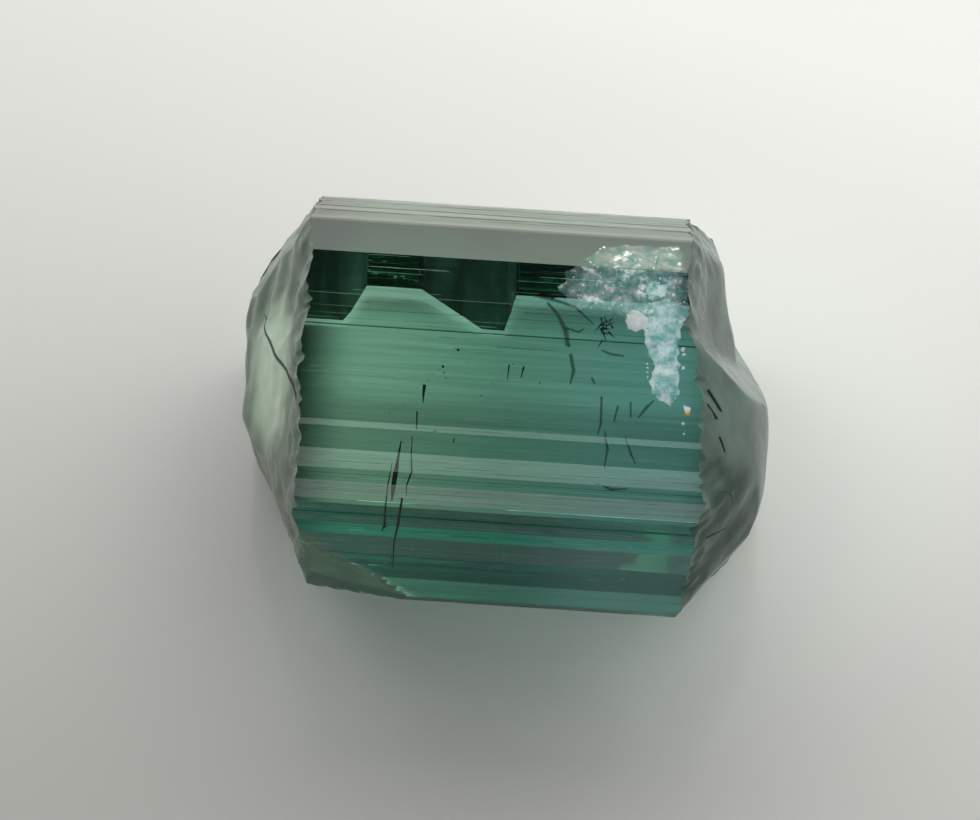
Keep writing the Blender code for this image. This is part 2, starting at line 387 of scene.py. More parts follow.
def station(form, x, depth):
    """The section's points where their x is x: each terrace fades in and out along the prism, the
    steep rear faces are also fluted across, and the toe is drawn in where it has broken away."""
    spots, inwards, sinks, faces, terraces = form
    draw = np.random.default_rng(12)
    count = terraces[-1] + 1
    pitch = draw.uniform(2.5, 9.0, count)[terraces]
    phase = draw.uniform(0, 2 * math.pi, count)[terraces]
    bias = draw.uniform(-0.9, 1.3, count)[terraces]
    fade = 0.5 + 0.5 * np.tanh(6 * (np.sin(2 * math.pi * x / pitch + phase) + bias))
    flute = FLUTE * waves(x, np.zeros_like(x), 13, 1.6) * np.isin(faces, (TOE_WALL, REAR_WALL))
    spots = spots + inwards * (sinks * fade * depth + flute)[:, None]
    missing = 1 - np.interp(x, *np.transpose(TOE))
    rear = np.array(REAR)
    drawn_in = np.zeros_like(rear)
    drawn_in[2:4] = np.array(BARE) - rear[2:4]  # the toe's tip and knee
    for number in (TOE_UNDER, TOE_WALL, REAR_WALL):
        first = number - REAR_FIRST
        run = rear[first + 1] - rear[first]
        share = ((spots - rear[first]) @ run / (run @ run))[:, None]
        move = drawn_in[first] * (1 - share) + drawn_in[first + 1] * share
        spots = spots + ((faces == number) * missing)[:, None] * move
    return spots


def trimmed(x, points):
    """What the spall leaves of the outline at x: the share of each point's line from the core that is
    left once the spall's plane, a little wavy, has cut it."""
    ray = points - CORE
    (px, py, pz), (nx, ny, nz) = SPALL
    gap = -(nx * (x - px) + ny * (CORE[0] - py) + nz * (CORE[1] - pz))
    rate = ny * ray[:, 0] + nz * ray[:, 1]
    reach = gap / np.where(rate > 1e-6, rate, 1e9)
    wavy = 1 + SPALL_WAVE * waves(x, points[:, 1], 90, 2.0)
    return np.where(rate > 1e-6, np.minimum(1.0, reach * wavy), 1.0)


def crystal_grid(fineness, depth, rings, stations):
    """The whole closed surface as rings of section points: the left end from its middle out, the
    prism faces from left to right, the right end back in to its middle. Also the face of the section
    that each point of a ring belongs to."""
    form = section(fineness)
    spots, faces = form[0], form[3]

    def outline(x):
        points = station(form, x, depth)
        return CORE + (points - CORE) * trimmed(x, points)[:, None]

    def rim(end, side):
        x = end(*spots.T)
        for _ in range(4):  # the outline and its x follow from each other, and settle in a few rounds
            points = outline(x)
            x = chipped(end, side, *points.T, 1.0)
        return x, points

    def end_ring(end, side, points, share):
        spot = CORE + (points - CORE) * share
        return np.column_stack((chipped(end, side, *spot.T, share), spot))

    left, left_rim = rim(left_end, 1)
    right, right_rim = rim(right_end, -1)
    shares = np.linspace(0, 1, rings + 1)[1:] ** 0.8
    layers = [end_ring(left_end, 1, left_rim, share) for share in shares]
    first, last = RING_ENDS
    firm = (np.array(FIRM) - first) / (last - first)
    parts = np.unique(np.concatenate((np.linspace(0, 1, stations + 1)[1:-1] ** 1.2, firm)))
    for part in parts:
        x = first + (last - first) * part
        x = x + (left - first) * max(0.0, 1 - part / firm[0])
        x = x + (right - last) * max(0.0, (part - firm[-1]) / (1 - firm[-1]))
        layers.append(np.column_stack((x, outline(x))))
    layers += [end_ring(right_end, -1, right_rim, share) for share in shares[::-1]]
    return np.stack(layers), faces


def put_mesh(name, points, *groups):
    """A mesh object from points in mm and groups of faces, with the centring applied. A group is an
    array with a row of point numbers for each face."""
    mesh = bpy.data.meshes.new(name)
    mesh.from_pydata((points + SHIFT) * MM, [], [face for group in groups for face in group.tolist()])
    mesh.update()
    made = bpy.data.objects.new(name, mesh)
    bpy.context.scene.collection.objects.link(made)
    return made


def closed_skin(rows, poles):
    """The points of a closed surface, its four-sided faces and its three-sided ones: rings of points
    one after another are joined by bands of faces, and a fan joins each end ring to a pole."""
    total, count = rows.shape[:2]
    here = np.arange(count)
    after = (here + 1) % count
    row = np.arange(total - 1)[:, None] * count
    quads = np.stack((row + here, row + after, row + count + after, row + count + here), axis=-1)
    first = total * count
    last_row = first - count
    start_fan = np.stack((np.full(count, first), after, here), axis=-1)
    end_fan = np.stack((np.full(count, first + 1), last_row + here, last_row + after), axis=-1)
    points = np.concatenate((rows.reshape(-1, 3), poles))
    return points, quads.reshape(-1, 4), np.concatenate((start_fan, end_fan))


def crease(mesh, count, rims):
    """Marks an edge sharp where it runs along the prism, between the rims, or round either rim. Each
    ring has count points."""
    ends = np.empty(len(mesh.edges) * 2, np.int32)
    mesh.edges.foreach_get("vertices", ends)
    ends = np.sort(ends.reshape(-1, 2), axis=1)
    ring = ends // count
    along = (ring[:, 1] == ring[:, 0] + 1) & (ends[:, 0] % count == ends[:, 1] % count)
    lateral = along & (ring[:, 0] >= rims[0]) & (ring[:, 1] <= rims[1])
    round_rim = (ring[:, 0] == ring[:, 1]) & np.isin(ring[:, 0], rims)
    mesh.attributes.new("sharp_edge", "BOOLEAN", "EDGE")
    mesh.attributes["sharp_edge"].data.foreach_set("value", lateral | round_rim)


def finish_slots(layers, owners, rims):
    """The finish of every four-sided face, by which face of the section it lies on and where: the
    etched, the steep front and the broken toe's faces between the rims, the breaks outside them, and
    the scar of the spall, which is finished as the front is."""
    finish = np.full((len(layers) - 1, len(owners)), CLEAR)
    prism = np.zeros(finish.shape, bool)
    prism[rims[0]:rims[1]] = True
    middle = 0.5 * (layers[:-1, :, 0] + layers[1:, :, 0])
    gone = np.interp(middle, *np.transpose(TOE)) < TOE_WHOLE
    after = np.roll(layers, -1, axis=1)
    centres = 0.25 * (layers[:-1] + layers[1:] + after[:-1] + after[1:])
    point, normal = np.array(SPALL)
    off = np.abs((centres - point) @ normal)
    finish[prism & (owners < ETCHED)] = ETCH
    finish[prism & np.isin(owners, (TOE_WALL, REAR_WALL)) & gone] = FOOT_BREAK
    finish[prism & (owners >= FRONT) & (owners < UNDERSIDE)] = FRONT_FACES
    finish[prism & (off < SPALL_NEAR)] = FRONT_FACES
    finish[:rims[0]] = LEFT_BREAK
    finish[rims[1]:] = RIGHT_BREAK
    return finish


def build_crystal(sizes):
    """The stone's surface as a mesh: the rings joined and a fan over each middle, with its creases and
    the finish of every face."""
    layers, owners = crystal_grid(sizes.fineness, sizes.depth, sizes.rings, sizes.stations)
    total, count = layers.shape[:2]
    rims = (sizes.rings - 1, total - sizes.rings)
    middles = np.array([(end(*CORE[:, None])[0], *CORE) for end in (left_end, right_end)])
    made = put_mesh("crystal_body", *closed_skin(layers, middles))
    made.data.shade_smooth()
    crease(made.data, count, rims)
    fans = np.repeat((LEFT_BREAK, RIGHT_BREAK), count)
    slots = np.concatenate((finish_slots(layers, owners, rims).ravel(), fans))
    made.data.polygons.foreach_set("material_index", slots.astype(np.int32))
    return made


# --- what lies inside the stone ---------------------------------------------------------------
def under(x, along, depth):
    """Points inside the stone from x, the way walked down the section from the rear edge of the top
    face (negative back over the shoulder), and the depth under the face towards the core."""
    corners = face_corners()
    walked = np.concatenate(([0.0], np.cumsum(np.hypot(*np.diff(corners, axis=0).T))))
    walked = walked - walked[ETCHED]
    y, z = (np.interp(along, walked, side) for side in corners.T)
    inward = np.stack((CORE[0] - y, CORE[1] - z), axis=-1)
    inward = inward / np.linalg.norm(inward, axis=-1, keepdims=True)
    spot = np.stack((y, z), axis=-1) + inward * depth[..., None]
    return np.concatenate((np.broadcast_to(x, depth.shape)[..., None], spot), axis=-1)


def behind(end, y, z, depth):
    """Points inside the stone from y and z and the depth behind one of its broken ends."""
    side = 1 if end is left_end else -1
    return np.stack(np.broadcast_arrays(end(y, z) + side * depth, y, z), axis=-1)


def needle(path, depth, place=under, steps=6, sides=6):
    """A fine tube that follows a path of (across, along, half its width): rings square to the path,
    drawn to a point at both ends."""
    path = np.array(path, float)
    knots = np.linspace(0, 1, len(path))
    spots = np.linspace(0, 1, steps * (len(path) - 1) + 1)
    across, along, radius = (np.interp(spots, knots, side) for side in path.T)
    step = np.stack((np.gradient(across), np.gradient(along)))
    step = step / np.hypot(*step)
    turn = np.linspace(0, 2 * math.pi, sides, endpoint=False)
    out = radius[:, None] * np.cos(turn)
    rows = place(across[:, None] - step[1][:, None] * out, along[:, None] + step[0][:, None] * out,
                 depth + radius[:, None] * np.sin(turn))
    tips = place(across[[0, -1]], along[[0, -1]], np.full(2, float(depth)))
    return closed_skin(rows, tips)


def lens(outline, depth, thick, jag=0.0, seed=0, rows=9, sides=48):
    """A thin closed sheet with a given outline, in (across, along): rings that shrink to the middle on
    both sides of it, thickest there, with its rim roughened by jag and its faces by the same waves."""
    outline = np.array(outline, float)
    loop = np.concatenate((outline, outline[:1]))
    walked = np.concatenate(([0.0], np.cumsum(np.hypot(*np.diff(loop, axis=0).T))))
    spots = np.linspace(0, walked[-1], sides, endpoint=False)
    rim = np.column_stack([np.interp(spots, walked, side) for side in loop.T])
    middle = rim.mean(axis=0)
    swing = np.linspace(-0.5 * math.pi, 0.5 * math.pi, rows + 2)[1:-1]
    share = np.cos(swing)[:, None, None]
    flat = middle + (rim - middle) * share
    flat = flat + jag * share * np.stack(
        [waves(flat[..., 0], flat[..., 1], seed + i, 0.35) for i in (0, 1)], axis=-1)
    rough = 0.6 * thick * waves(flat[..., 0], flat[..., 1], seed + 2, 0.5)
    rows_at = depth - thick * np.sin(swing)[:, None] + rough
    tops = under(np.full(2, middle[0]), np.full(2, middle[1]), depth + np.array((thick, -thick)))
    return closed_skin(under(flat[..., 0], flat[..., 1], rows_at), tops)


def sheets(outline, depth, thick, jag, seed, shares):
    """Several lenses one under another, each with the outline drawn in to a share of its size, so what
    they make together thins out to its edge."""
    outline = np.array(outline)
    middle = outline.mean(axis=0)
    return [
        lens(middle + (outline - middle) * share, depth + 0.03 * i, thick, jag, seed + 10 * i, sides=72)
        for i, share in enumerate(shares)
    ]


def grain(across, along, size, depth, seed):
    """One small uneven grain: a lens whose outline is a stretched, turned ring of a few sides."""
    draw = np.random.default_rng(seed)
    turn = np.linspace(0, 2 * math.pi, 7, endpoint=False) + draw.uniform(0, 1)
    ring = size * draw.uniform(0.6, 1.3, (7, 2)) * np.column_stack((np.cos(turn), np.sin(turn)))
    return lens(ring + (across, along), depth, 0.5 * size, rows=3, sides=7)


def put_together(name, skins, material):
    """One mesh object from several closed skins, with a material; it rides with the stone."""
    starts = np.cumsum([0] + [len(points) for points, *_ in skins])
    groups = [group + start for start, skin in zip(starts, skins) for group in skin[1:]]
    made = put_mesh(name, np.concatenate([points for points, *_ in skins]), *groups)
    made.data.shade_smooth()
    made.data.materials.append(material)
    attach(made, "root")
    return made


# --- finishes ---------------------------------------------------------------------------------
def found(tree, kind):
    """The first node of a type in a tree."""
    return next(made for made in tree.nodes if made.type == kind)


def blank(name):
    """A new material: itself, its tree, the place its patterns are drawn in, and its shader."""
    material = bpy.data.materials.new(name)
    material.use_nodes = True
    tree = material.node_tree
    place = node(tree, "ShaderNodeTexCoord").outputs["Object"]
    return material, tree, place, found(tree, "BSDF_PRINCIPLED")


def set_stops(ramp, stops):
    """Gives a colour ramp its stops, each a spot from 0 to 1 and a tone."""
    elements = ramp.color_ramp.elements
    for _ in stops[2:]:
        elements.new(0.5)
    for stop, (spot, tone) in zip(elements, stops):
        stop.position = spot
        stop.color = (*tone, 1.0)


def tourmaline(colours, name="clear blue-green tourmaline"):
    """Clear tourmaline: glassy, coloured by what its thickness absorbs. It is yellower at the left and
    bluer at the right, with faint growth streaks along it, about seven to the millimetre."""
    material, tree, place, shader = blank(name)
    split = node(tree, "ShaderNodeSeparateXYZ", {0: place})
    run = node(tree, "ShaderNodeMapRange", {
        "Value": split.outputs["X"], "From Min": -5.0 * MM, "From Max": 5.0 * MM,
    })
    tint = node(tree, "ShaderNodeValToRGB", {0: run.outputs["Result"]})
    set_stops(tint, ((0.15, colours.left_tint), (0.5, colours.middle_tint), (0.9, colours.right_tint)))
    drawn = node(tree, "ShaderNodeVectorMath", {0: place, 1: (0.03, 1.0, 1.0)}, operation="MULTIPLY")
    streak = node(tree, "ShaderNodeTexNoise", {
        "Vector": drawn.outputs[0], "Scale": 7.0 / MM, "Detail": 3.0,
    })
    streak = node(tree, "ShaderNodeMapRange", {
        "Value": streak.outputs[0], "From Min": 0.3, "From Max": 0.7,
        "To Min": 1.04 - colours.streaks, "To Max": 1.04 + 0.5 * colours.streaks,
    })
    tinted = node(tree, "ShaderNodeVectorMath", {
        0: tint.outputs[0], 1: streak.outputs[0],
    }, operation="MULTIPLY")
    wire(tree, shader, {
        "Base Color": tinted.outputs[0], "Roughness": 0.0, "IOR": 1.63, "Transmission Weight": 1.0,
    })
    absorb = node(tree, "ShaderNodeVolumeAbsorption", {
        "Color": (*colours.body, 1.0), "Density": colours.density,
    })
    wire(tree, found(tree, "OUTPUT_MATERIAL"), {"Volume": absorb.outputs[0]})
    return material


def etched(colours):
    """Etched tourmaline face: the same stone with a fine matt grain, which veils what lies behind it
    and shows pale grey at the rear top, and darker and greener on the shoulder in front of it."""
    material = tourmaline(colours, "etched blue-green tourmaline")
    tree = material.node_tree
    band = node(tree, "ShaderNodeMapRange", {
        "Value": found(tree, "SEPXYZ").outputs["Y"], "From Min": 2.85 * MM, "From Max": 2.95 * MM,
    })
    matt = node(tree, "ShaderNodeMix", {
        0: band.outputs[0], 6: (*colours.shoulder, 1.0), 7: (*colours.etched, 1.0),
    }, data_type="RGBA")
    wire(tree, found(tree, "BSDF_PRINCIPLED"), {
        "Base Color": matt.outputs[2], "Roughness": 0.28, "Transmission Weight": 0.75,
    })
    return material


def fracture(colours, name, tone, patch, centre, reach, clear, shine):
    """Broken tourmaline: a satin break that hides most of what lies behind it, in one tone, with a
    patch of another round a point of that end, its edge made ragged by noise. reach is how far the
    patch goes in mm, clear the share of light the break lets through, and shine its specular level."""
    material = tourmaline(colours, name)
    tree = material.node_tree
    place = found(tree, "TEX_COORD").outputs["Object"]
    noise = node(tree, "ShaderNodeTexNoise", {"Vector": place, "Scale": 0.9 / MM, "Detail": 4.0})
    away = node(tree, "ShaderNodeVectorMath", {0: place, 1: centre}, operation="DISTANCE")
    away = node(tree, "ShaderNodeMath", {
        0: noise.outputs[0], 1: 2.2 * MM, 2: away.outputs["Value"],
    }, operation="MULTIPLY_ADD")
    inside = node(tree, "ShaderNodeMapRange", {
        "Value": away.outputs[0], "From Min": (reach + 2.0) * MM, "From Max": (reach + 0.4) * MM,
    }, interpolation_type="SMOOTHSTEP")
    base = node(tree, "ShaderNodeMix", {
        0: inside.outputs[0], 6: (*tone, 1.0), 7: (*patch, 1.0),
    }, data_type="RGBA")
    mottle = node(tree, "ShaderNodeMapRange", {
        "Value": noise.outputs[0], "From Min": 0.32, "From Max": 0.66, "To Min": 0.75, "To Max": 1.15,
    })
    base = node(tree, "ShaderNodeVectorMath", {
        0: base.outputs[2], 1: mottle.outputs[0],
    }, operation="MULTIPLY")
    wire(tree, found(tree, "BSDF_PRINCIPLED"), {
        "Base Color": base.outputs[0], "Roughness": 0.22, "Transmission Weight": clear,
        "Specular IOR Level": shine,
    })
    return material


def front_faces(colours):
    """Faintly etched tourmaline, on the steep front faces: they keep a soft green of their own over what
    shows through them, with painted shade that darkens the upper ones and the edge that leans under, and
    a painted bluish reflection that makes them paler at the right. The scar of the spall, near its
    plane, is paler and has a painted highlight along its rim."""
    material = tourmaline(colours, "faintly etched tourmaline")
    tree = material.node_tree
    shader = found(tree, "BSDF_PRINCIPLED")
    place = found(tree, "TEX_COORD").outputs["Object"]
    split = found(tree, "SEPXYZ")
    streaked = shader.inputs["Base Color"].links[0].from_socket
    point, normal = np.array(SPALL)
    off = node(tree, "ShaderNodeVectorMath", {0: place, 1: (point + SHIFT) * MM}, operation="SUBTRACT")
    off = node(tree, "ShaderNodeVectorMath", {0: off.outputs[0], 1: normal}, operation="DOT_PRODUCT")
    off = node(tree, "ShaderNodeMath", {0: off.outputs["Value"]}, operation="ABSOLUTE")
    off = node(tree, "ShaderNodeMapRange", {"Value": off.outputs[0], "From Max": SPALL_HIGHLIGHT * MM})
    # the spall's scar is paler, with a painted highlight along its rim
    tone = node(tree, "ShaderNodeValToRGB", {0: off.outputs[0]})
    set_stops(tone, (
        (0.0, colours.spall), (0.4, colours.spall), (0.58, colours.rim), (0.75, colours.front),
    ))
    green = node(tree, "ShaderNodeVectorMath", {0: streaked, 1: tone.outputs[0]}, operation="MULTIPLY")
    run = node(tree, "ShaderNodeMapRange", {
        "Value": split.outputs["X"], "From Min": 0.3 * MM, "From Max": 3.2 * MM,
    }, interpolation_type="SMOOTHSTEP")
    # painted bluish reflection: the front faces turn paler towards the right
    green = node(tree, "ShaderNodeMix", {
        0: run.outputs[0], 6: green.outputs[0], 7: (*colours.front_right_reflection, 1.0),
    }, data_type="RGBA")
    # painted shade by height: darker over the upper faces and at the edge that leans under
    foot, edge, low, high = (
        face_corners()[number][1] * MM for number in (UNDERSIDE, FRONT_EDGE, FRONT_LOW, FRONT_SHADED)
    )
    height = node(tree, "ShaderNodeMapRange", {
        "Value": split.outputs["Z"], "From Min": foot, "From Max": high,
    })
    shade = node(tree, "ShaderNodeValToRGB", {0: height.outputs[0]})
    # at the edge that leans under, the painted shade changes over less than a tenth of a millimetre
    heights = (edge - 0.04 * MM, edge + 0.04 * MM, low, high)
    set_stops(shade, [
        ((z - foot) / (high - foot), linear(code))
        for z, code in zip(heights, ("A0BCBC", "FFFFFF", "FFFFFF", "90EDDD"))
    ])
    green = node(tree, "ShaderNodeVectorMath", {
        0: green.outputs[2], 1: shade.outputs[0],
    }, operation="MULTIPLY")
    wire(tree, shader, {
        "Base Color": green.outputs[0], "Roughness": 0.09, "Specular IOR Level": 0.14,
        "Transmission Weight": 0.8,
    })
    return material


def toe_break(colours):
    """The breaks along the foot: broken stone rough enough to swallow most of the light, with painted shade
    in its dark tone, so they show as dark hollows, and lighter curtains of painted light across them,
    about 0.6 mm apart."""
    material = tourmaline(colours, "broken tourmaline foot")
    tree = material.node_tree
    drawn = node(tree, "ShaderNodeVectorMath", {
        0: found(tree, "TEX_COORD").outputs["Object"], 1: (1.0, 0.15, 0.15),
    }, operation="MULTIPLY")
    # lighter curtains of painted light across the dark breaks
    light_curtain = node(tree, "ShaderNodeTexNoise", {
        "Vector": drawn.outputs[0], "Scale": 1.6 / MM, "Detail": 2.0,
    })
    light_curtain = node(tree, "ShaderNodeMapRange", {
        "Value": light_curtain.outputs[0], "From Min": 0.36, "From Max": 0.66, "To Min": 0.4, "To Max": 1.7,
    })
    base = node(tree, "ShaderNodeVectorMath", {
        0: colours.foot_break_shade, 1: light_curtain.outputs[0],
    }, operation="MULTIPLY")
    wire(tree, found(tree, "BSDF_PRINCIPLED"), {
        "Base Color": base.outputs[0], "Roughness": 0.5, "Specular IOR Level": 0.3,
        "Transmission Weight": 0.4,
    })
    return material


def crack_film(colours, name, open_share, haze, scale):
    """Healed crack: films of liquid and gas, whitish in patches, with clear stone between them, and a
    painted glow for the light they throw back. open_share is the noise level under which only the haze is
    left; scale is patches per mm."""
    material, tree, place, shader = blank(name)
    fine = node(tree, "ShaderNodeTexNoise", {
        "Vector": place, "Scale": scale / MM, "Detail": 5.0, "Roughness": 0.7,
    })
    patchy = node(tree, "ShaderNodeTexNoise", {"Vector": place, "Scale": 0.28 * scale / MM, "Detail": 2.0})
    both = node(tree, "ShaderNodeMath", {0: fine.outputs[0], 1: patchy.outputs[0]}, operation="ADD")
    cover = node(tree, "ShaderNodeMapRange", {
        "Value": both.outputs[0], "From Min": open_share, "From Max": open_share + 0.28,
        "To Min": haze, "To Max": colours.film_cover,
    }, interpolation_type="SMOOTHSTEP")
    bands = node(tree, "ShaderNodeMapRange", {
        "Value": fine.outputs[0], "From Min": 0.40, "From Max": 0.64,
    })
    base = node(tree, "ShaderNodeMix", {
        0: bands.outputs[0], 6: (*colours.film_shade, 1.0), 7: (*colours.film, 1.0),
    }, data_type="RGBA")
    wire(tree, shader, {
        "Base Color": base.outputs[2], "Roughness": 0.35, "Alpha": cover.outputs[0],
        "Emission Color": base.outputs[2], "Emission Strength": colours.film_painted_glow,
    })
    return material


def plain_grain(name, tone, roughness, alpha=1.0, painted_glow=0.0):
    """A grain or tube of one other mineral: one colour, faintly mottled, more or less matt, and more or
    less solid."""
    material, tree, place, shader = blank(name)
    mottle = node(tree, "ShaderNodeTexNoise", {"Vector": place, "Scale": 6.0 / MM, "Detail": 3.0})
    shade = node(tree, "ShaderNodeMapRange", {"Value": mottle.outputs[0], "To Min": 0.6, "To Max": 1.2})
    base = node(tree, "ShaderNodeVectorMath", {0: tone, 1: shade.outputs[0]}, operation="MULTIPLY")
    # the grain's glow, if any, is painted light
    wire(tree, shader, {
        "Base Color": base.outputs[0], "Roughness": roughness, "Alpha": alpha,
        "Emission Color": base.outputs[0], "Emission Strength": painted_glow,
    })
    return material


def rainbow():
    """Thin crack with a painted glint of interference colours, from blue through yellow to orange across
    it, glowing though it is no lamp.
    """
    material, tree, place, shader = blank("rainbow crack film")
    split = node(tree, "ShaderNodeSeparateXYZ", {0: place})
    start, end = (
        under(np.array(5.0), np.array(along), np.array(0.1))[1] + SHIFT[1] for along in (3.58, 3.90)
    )
    run = node(tree, "ShaderNodeMapRange", {
        "Value": split.outputs["Y"], "From Min": start * MM, "From Max": end * MM,
    })
    ramp = node(tree, "ShaderNodeValToRGB", {0: run.outputs[0]})
    hues = ((0.1, "9CC8FF"), (0.35, "FFFFFF"), (0.6, "FFE98A"), (0.9, "E88A4A"))
    set_stops(ramp, [(spot, linear(code)) for spot, code in hues])
    # painted glint: the interference colours glow though they are no lamp
    wire(tree, shader, {
        "Base Color": ramp.outputs[0], "Emission Color": ramp.outputs[0], "Emission Strength": 0.5,
    })
    return material


def opal_plate(colours):
    """White opal plate: pale and plain with a soft low reflection, with painted shade that makes it a
    little darker to the front and left. It glows faintly under the stone, more at the rear there, and less
    all
    round it: painted light that brightens the plate there."""
    material, tree, place, shader = blank("white opal plate")
    # painted shade: the plate darkens towards the front left
    slope = node(tree, "ShaderNodeVectorMath", {0: place, 1: (0.43, 1.0, 0.0)}, operation="DOT_PRODUCT")
    tone = node(tree, "ShaderNodeMapRange", {
        "Value": slope.outputs["Value"], "From Min": -16 * MM, "From Max": 16 * MM,
    })
    base = node(tree, "ShaderNodeMix", {
        0: tone.outputs[0], 6: (*colours.plate_front_shade, 1.0), 7: (*colours.plate, 1.0),
    }, data_type="RGBA")
    # painted light: a glow under the stone, stronger towards its rear, and a weaker one round it
    spot = node(tree, "ShaderNodeVectorMath", {
        0: place, 1: (PAINTED_GLOW_AT[0] * MM, PAINTED_GLOW_AT[1] * MM, 0.0),
    }, operation="SUBTRACT")
    spot = node(tree, "ShaderNodeVectorMath", {0: spot.outputs[0]}, operation="ABSOLUTE")
    spot = node(tree, "ShaderNodeSeparateXYZ", {0: spot.outputs[0]})
    reach_x, reach_y = (node(tree, "ShaderNodeMapRange", {
        "Value": spot.outputs[axis], "From Min": far * MM, "From Max": near * MM,
    }, interpolation_type="SMOOTHSTEP") for axis, (far, near) in enumerate(PAINTED_GLOW_REACH))
    below = node(tree, "ShaderNodeMath", {
        0: reach_x.outputs[0], 1: reach_y.outputs[0],
    }, operation="MULTIPLY")
    deep = node(tree, "ShaderNodeSeparateXYZ", {0: place})
    dip = node(tree, "ShaderNodeMapRange", {
        "Value": deep.outputs["Y"], "From Min": 1.3 * MM, "From Max": 2.4 * MM,
        "To Min": 0.62, "To Max": 1.14,
    }, interpolation_type="SMOOTHSTEP")
    below = node(tree, "ShaderNodeMath", {0: below.outputs[0], 1: dip.outputs[0]}, operation="MULTIPLY")
    away = node(tree, "ShaderNodeVectorMath", {
        0: place, 1: (5.0 * MM, 2.0 * MM, 0.0),
    }, operation="DISTANCE")
    fill = node(tree, "ShaderNodeMapRange", {
        "Value": away.outputs["Value"], "From Min": 11.0 * MM, "From Max": 4.0 * MM, "To Max": colours.fill,
    }, interpolation_type="SMOOTHSTEP")
    outside = node(tree, "ShaderNodeMath", {0: 1.0, 1: below.outputs[0]}, operation="SUBTRACT")
    fill = node(tree, "ShaderNodeMath", {0: fill.outputs[0], 1: outside.outputs[0]}, operation="MULTIPLY")
    painted_glow = node(tree, "ShaderNodeMath", {
        0: below.outputs[0], 1: colours.painted_glow, 2: fill.outputs[0],
    }, operation="MULTIPLY_ADD")
    wire(tree, shader, {
        "Base Color": base.outputs[2], "Roughness": 0.10, "IOR": 1.6,
        "Emission Color": (*colours.painted_glow_tint, 1.0), "Emission Strength": painted_glow.outputs[0],
    })
    return material


# --- settings ---------------------------------------------------------------------------------
def colour(name, description, code):
    """A colour setting, with its default as an sRGB hex code."""
    return bpy.props.FloatVectorProperty(
        name=name, description=description, subtype="COLOR", size=3, default=linear(code),
        min=0.0, max=1.0)


class TourmalineSizes(bpy.types.PropertyGroup):
    """How finely and how deeply the stone's surface is worked"""

    fineness: bpy.props.FloatProperty(
        name="Striation fineness", description="Scales how many striations a face has", default=1.0,
        min=0.1)
    depth: bpy.props.FloatProperty(
        name="Striation depth", description="Scales how far the striations sink", default=1.0, min=0.0)
    rings: bpy.props.IntProperty(
        name="End rings", description="Rings of points over each broken end", default=48, min=8)
    stations: bpy.props.IntProperty(
        name="Stations", description="Rings of points along the prism faces", default=80, min=4)


class TourmalineColours(bpy.types.PropertyGroup):
    """The stone's colours and finishes, and those of the plate under it"""

    body: colour("Body colour", "What the stone lets through", "5CC9A8")
    density: bpy.props.FloatProperty(
        name="Colour depth", description="Absorption density per metre", default=140.0, min=0.0)
    streaks: bpy.props.FloatProperty(
        name="Growth streaks", description="How strong the faint streaks along the stone are", default=0.24,
        min=0.0, max=0.9)
    left_tint: colour("Left tint", "Surface tint at the yellower end", "FFFFFF")
    middle_tint: colour("Middle tint", "Surface tint halfway along", "CADADE")
    right_tint: colour("Right tint", "Surface tint at the bluer end", "C4D7EF")
    left_break: colour("Left break", "Tone of the broken left end", "617665")
    # a painted highlight on the left break
    left_highlight: colour("Left patch", "Pale patch in its middle", "CEE7CE")
    right_break: colour("Right break", "Tone of the broken right end", "596E65")
    right_patch: colour("Right patch", "Greener patch low at its front", "355046")
    # the dark tone of the breaks along the foot is painted shade
    foot_break_shade: colour("Foot break", "Dark tone of the breaks along the foot", "558E79")
    front: colour("Front faces", "Soft green of the steep front faces", "81F3D7")
    # a painted bluish reflection on the front faces at the right
    front_right_reflection: colour(
        "Front faces, right", "Paler blue-green of the same faces at the right", "B1FFFA")
    spall: colour("Spall scar", "Tone of the scar at the lower left", "ADF9D1")
    # a painted highlight along the spall's rim
    rim: colour("Spall rim", "Bright rim round the same scar", "E7FFF3")
    etched: colour("Etched faces", "Grey of the matt grain on the etched faces", "B6B2A6")
    shoulder: colour("Etched shoulder", "The same on the shoulder in front of them", "204A2C")
    plate: colour("Plate", "Glazed plate under the stone", "FBFBF8")
    # painted shade: the plate darker towards the front left
    plate_front_shade: colour("Plate front", "The same plate towards the front left", "C3C3C0")
    # painted light in the plate: the glow under the stone, its spread round it, and their tint
    painted_glow: bpy.props.FloatProperty(
        name="Glow under the stone", description="Light that comes up through the plate", default=0.44)
    fill: bpy.props.FloatProperty(
        name="Glow round the stone", description="The same, spreading past it", default=0.08)
    painted_glow_tint: colour("Glow tint", "Colour of the same glow", "EBFFEF")


class TourmalineInside(bpy.types.PropertyGroup):
    """What lies inside the stone"""

    film: colour("Crack films", "Whitish films of the healed crack", "F6F2EA")
    film_shade: colour("Film shade", "Teal of the same films where they are thin", "78B4A8")
    film_cover: bpy.props.FloatProperty(
        name="Film cover", description="How solid the films are at their thickest", default=0.8,
        min=0.0, max=1.0)
    # painted light: the films and the clay glow though they are no lamp
    film_painted_glow: bpy.props.FloatProperty(
        name="Film glow", description="Light the films throw back from all round inside the stone",
        default=0.48, min=0.0)
    clay: colour("Clay", "Cream clay grain and flakes", "F2EEE2")
    tube: colour("Growth tubes", "Dark filling of the needles and specks", "16211C")
    feather: colour("Feather cracks", "Dark haze of the feather cracks", "0E3A2C")
    spikes: colour("Blue spikes", "Dark blue of the spiky cluster", "1C3A4C")
    flakes: bpy.props.IntProperty(
        name="Flakes", description="White flakes scattered over the healed crack", default=90, min=0)
    depth: bpy.props.FloatProperty(
        name="Depth", description="How deep under the faces it lies, mm", default=0.10, min=0.03)


